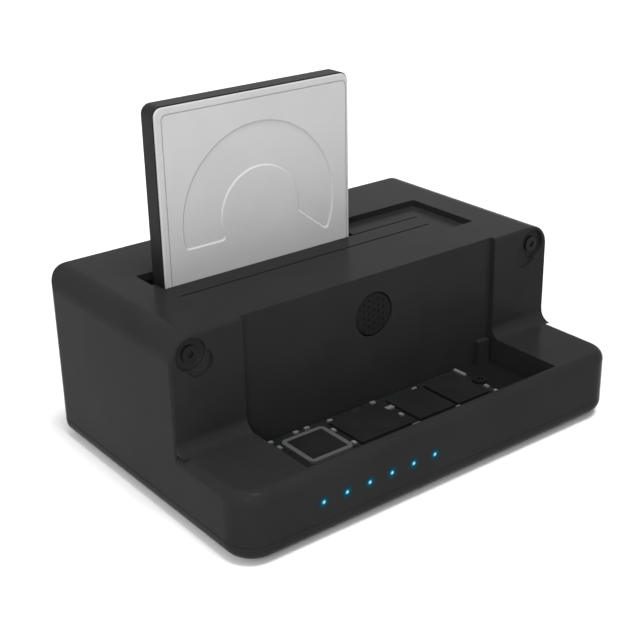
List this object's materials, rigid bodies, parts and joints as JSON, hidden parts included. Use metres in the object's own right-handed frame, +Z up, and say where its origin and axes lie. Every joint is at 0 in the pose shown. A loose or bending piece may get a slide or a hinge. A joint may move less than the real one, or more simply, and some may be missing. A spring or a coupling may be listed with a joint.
{
  "type": "hard drive docking station",
  "caption": "L-shaped docking station: a drive stands in a flapped top slot, a small solid-state card lies in an open bay in the front ledge.",
  "frame": {"origin": "bottom centre of the footprint, at the underside of the feet", "axes": "+X to the right seen from the front, +Y to the back, +Z up"},
  "size_m": [0.1446, 0.1028, 0.108],
  "materials": {
    "upper_shell": "fine satin",
    "base_cover": "fine satin",
    "rubber_feet": "matt",
    "case_screws": "black zinc",
    "corner_screws": "black zinc",
    "drive_well": "matt",
    "well_screws": "zinc",
    "slot_flap": "fine satin",
    "flap_pin": "ground",
    "flap_springs": "drawn wire",
    "sata_socket": "moulded",
    "sata_contacts": "gold plated",
    "main_board": "solder mask",
    "board_screws": "zinc",
    "board_chips": "moulded",
    "board_inductors": "ferrite",
    "board_capacitors": "drawn can",
    "board_header": "moulded",
    "dc_jack": "moulded",
    "usb_port": "stamped",
    "rocker_housing": "moulded",
    "power_rocker": "polished",
    "m2_board": "solder mask",
    "m2_board_spacers": "turned",
    "m2_board_screws": "zinc",
    "m2_socket": "moulded",
    "m2_standoff": "turned",
    "m2_screw": "zinc",
    "pit_floor": "matt",
    "ssd_board": "solder mask",
    "ssd_controller": "moulded",
    "ssd_controller_frame": "stamped",
    "ssd_memory": "moulded",
    "ssd_small_parts": "tinned",
    "button_cap": "fine satin",
    "switch_plunger": "moulded",
    "button_switch": "moulded",
    "button_board": "solder mask",
    "led_lenses": "clear blue",
    "status_leds": "moulded",
    "drive_frame": "dark coated casting",
    "drive_cover": "satin stamped sheet",
    "drive_pcb": "solder mask",
    "drive_plug": "moulded",
    "drive_pcb_screws": "zinc"
  },
  "bodies": {
    "root": {"upper_shell": "upper_shell", "base_cover": "base_cover", "rubber_feet": "rubber_feet", "case_screws": "case_screws", "corner_screws": "corner_screws", "drive_well": "drive_well", "well_screws": "well_screws", "flap_pin": "flap_pin", "flap_springs": "flap_springs", "sata_socket": "sata_socket", "sata_contacts": "sata_contacts", "main_board": "main_board", "board_screws": "board_screws", "board_chips": "board_chips", "board_inductors": "board_inductors", "board_capacitors": "board_capacitors", "board_header": "board_header", "dc_jack": "dc_jack", "usb_port": "usb_port", "rocker_housing": "rocker_housing", "m2_board": "m2_board", "m2_board_spacers": "m2_board_spacers", "m2_board_screws": "m2_board_screws", "m2_socket": "m2_socket", "m2_standoff": "m2_standoff", "m2_screw": "m2_screw", "pit_floor": "pit_floor", "ssd_board": "ssd_board", "ssd_controller": "ssd_controller", "ssd_controller_frame": "ssd_controller_frame", "ssd_memory": "ssd_memory", "ssd_small_parts": "ssd_small_parts", "button_switch": "button_switch", "button_board": "button_board", "led_lenses": "led_lenses", "status_leds": "status_leds"},
    "flap": {"slot_flap": "slot_flap"},
    "button": {"button_cap": "button_cap", "switch_plunger": "switch_plunger"},
    "rocker": {"power_rocker": "power_rocker"},
    "drive": {"drive_frame": "drive_frame", "drive_cover": "drive_cover", "drive_pcb": "drive_pcb", "drive_plug": "drive_plug", "drive_pcb_screws": "drive_pcb_screws"}
  },
  "joints": [
    {"name": "flap_hinge", "type": "hinge", "parent": "root", "child": "flap", "pos_m": [0, -0.0054, 0.0518], "axis": [1, 0, 0], "range_deg": [-80, 0], "stiffness_Nm_per_rad": 0.02, "springref_deg": 20.05},
    {"name": "button_press", "type": "slide", "parent": "root", "child": "button", "axis": [0, 1, 0], "range_m": [0, 0.0008], "stiffness_N_per_m": 900, "springref_m": -0.001},
    {"name": "rocker_tilt", "type": "hinge", "parent": "root", "child": "rocker", "pos_m": [-0.045, 0.045, 0.027], "axis": [0, 0, 1], "range_deg": [0, 14]},
    {"name": "drive_lift", "type": "slide", "parent": "root", "child": "drive", "axis": [0, 0, 1], "range_m": [0, 0.06]}
  ]
}
